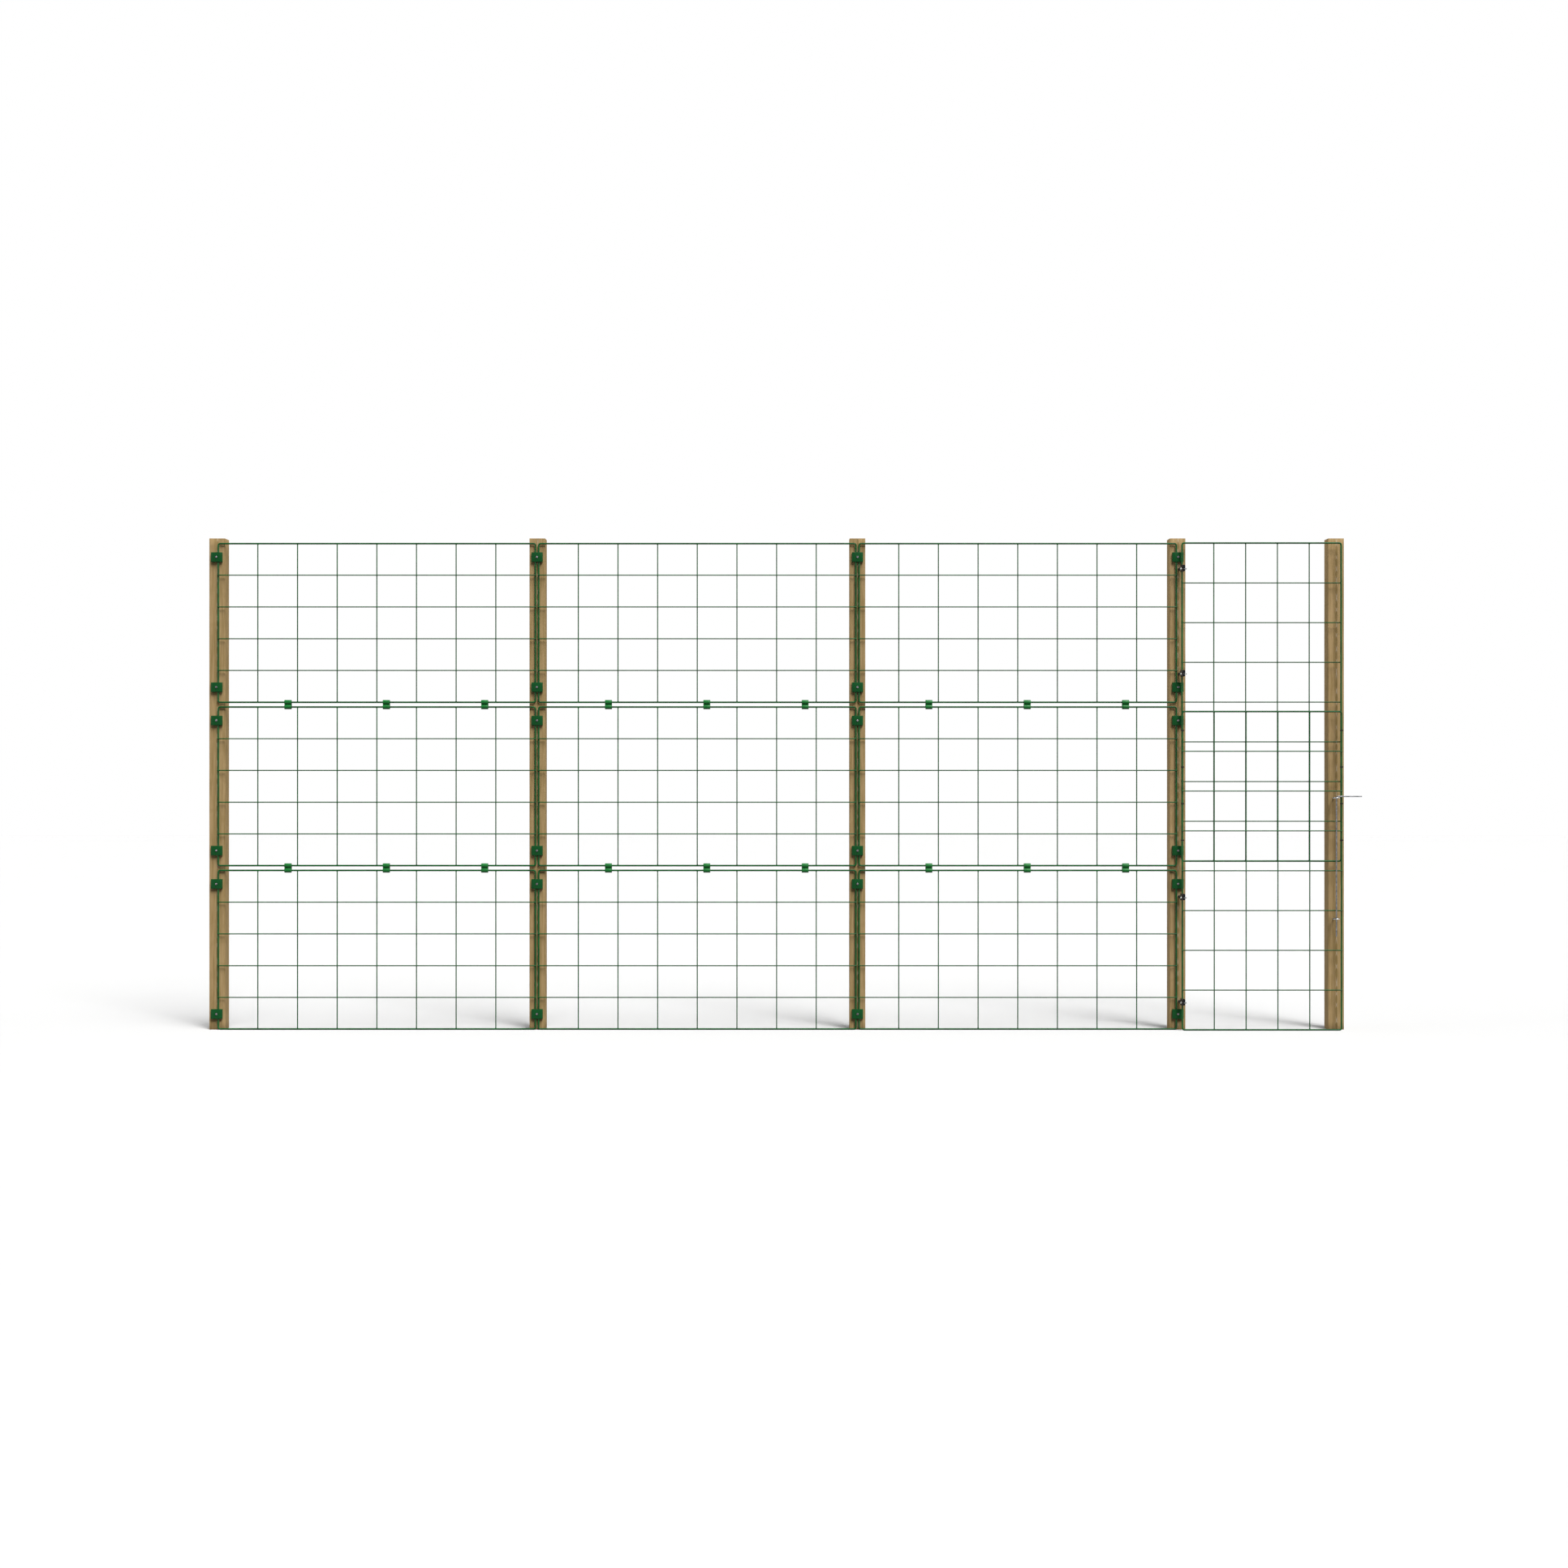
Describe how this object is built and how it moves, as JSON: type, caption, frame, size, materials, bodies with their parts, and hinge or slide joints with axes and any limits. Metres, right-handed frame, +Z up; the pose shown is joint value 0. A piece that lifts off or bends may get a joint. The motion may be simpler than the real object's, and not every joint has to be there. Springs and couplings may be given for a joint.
{
  "type": "livestock panel gate",
  "caption": "Run of green welded wire panels clamped to square wooden posts, with a swinging wire gate at one end held by a drop rod.",
  "frame": {"origin": "centre of the hinge post's foot, on the ground", "axes": "+X along the fence from the end post to the latch post, +Y from the panels' side to the back of the posts, +Z up"},
  "size_m": [4.352, 0.1187, 1.86],
  "materials": {
    "timber": "sawn and planed softwood, pressure treated",
    "green_wire": "satin green coating",
    "clamp_plastic": "satin moulded",
    "clip_plastic": "glossy moulded",
    "screw_steel": "dull zinc",
    "zinc_steel": "zinc plated",
    "black_plastic": "satin moulded",
    "tie_plastic": "satin nylon"
  },
  "bodies": {
    "fence": {"end_post": "timber", "left_line_post": "timber", "right_line_post": "timber", "hinge_post": "timber", "latch_post": "timber", "panel_frame_1_bottom": "green_wire", "panel_mesh_1_bottom": "green_wire", "panel_frame_1_middle": "green_wire", "panel_mesh_1_middle": "green_wire", "panel_frame_1_top": "green_wire", "panel_mesh_1_top": "green_wire", "clips_1_lower": "clip_plastic", "clips_1_upper": "clip_plastic", "panel_frame_2_bottom": "green_wire", "panel_mesh_2_bottom": "green_wire", "panel_frame_2_middle": "green_wire", "panel_mesh_2_middle": "green_wire", "panel_frame_2_top": "green_wire", "panel_mesh_2_top": "green_wire", "clips_2_lower": "clip_plastic", "clips_2_upper": "clip_plastic", "panel_frame_3_bottom": "green_wire", "panel_mesh_3_bottom": "green_wire", "panel_frame_3_middle": "green_wire", "panel_mesh_3_middle": "green_wire", "panel_frame_3_top": "green_wire", "panel_mesh_3_top": "green_wire", "clips_3_lower": "clip_plastic", "clips_3_upper": "clip_plastic", "clamp_backs_end_post": "clamp_plastic", "clamp_covers_end_post": "clamp_plastic", "clamp_screws_end_post": "screw_steel", "clamp_backs_left_line_post": "clamp_plastic", "clamp_covers_left_line_post": "clamp_plastic", "clamp_screws_left_line_post": "screw_steel", "clamp_backs_right_line_post": "clamp_plastic", "clamp_covers_right_line_post": "clamp_plastic", "clamp_screws_right_line_post": "screw_steel", "clamp_backs_hinge_post": "clamp_plastic", "clamp_covers_hinge_post": "clamp_plastic", "clamp_screws_hinge_post": "screw_steel", "hinge_brackets": "zinc_steel", "hinge_bolts": "zinc_steel", "hinge_nuts": "zinc_steel", "hinge_caps": "black_plastic", "lower_screw_eye": "zinc_steel", "upper_screw_eye": "zinc_steel"},
    "gate": {"gate_frame_lower": "green_wire", "gate_frame_upper": "green_wire", "gate_mesh_lower": "green_wire", "gate_mesh_upper": "green_wire", "cable_ties_left": "tie_plastic", "cable_ties_right": "tie_plastic"},
    "drop_rod": {"drop_rod": "zinc_steel"}
  },
  "joints": [
    {"name": "gate_swing", "type": "hinge", "parent": "fence", "child": "gate", "pos_m": [0.012, -0.061, 0], "axis": [0, 0, -1], "range_deg": [0, 165]},
    {"name": "rod_lift", "type": "slide", "parent": "fence", "child": "drop_rod", "axis": [0, 0, 1], "range_m": [0, 0.54]}
  ]
}
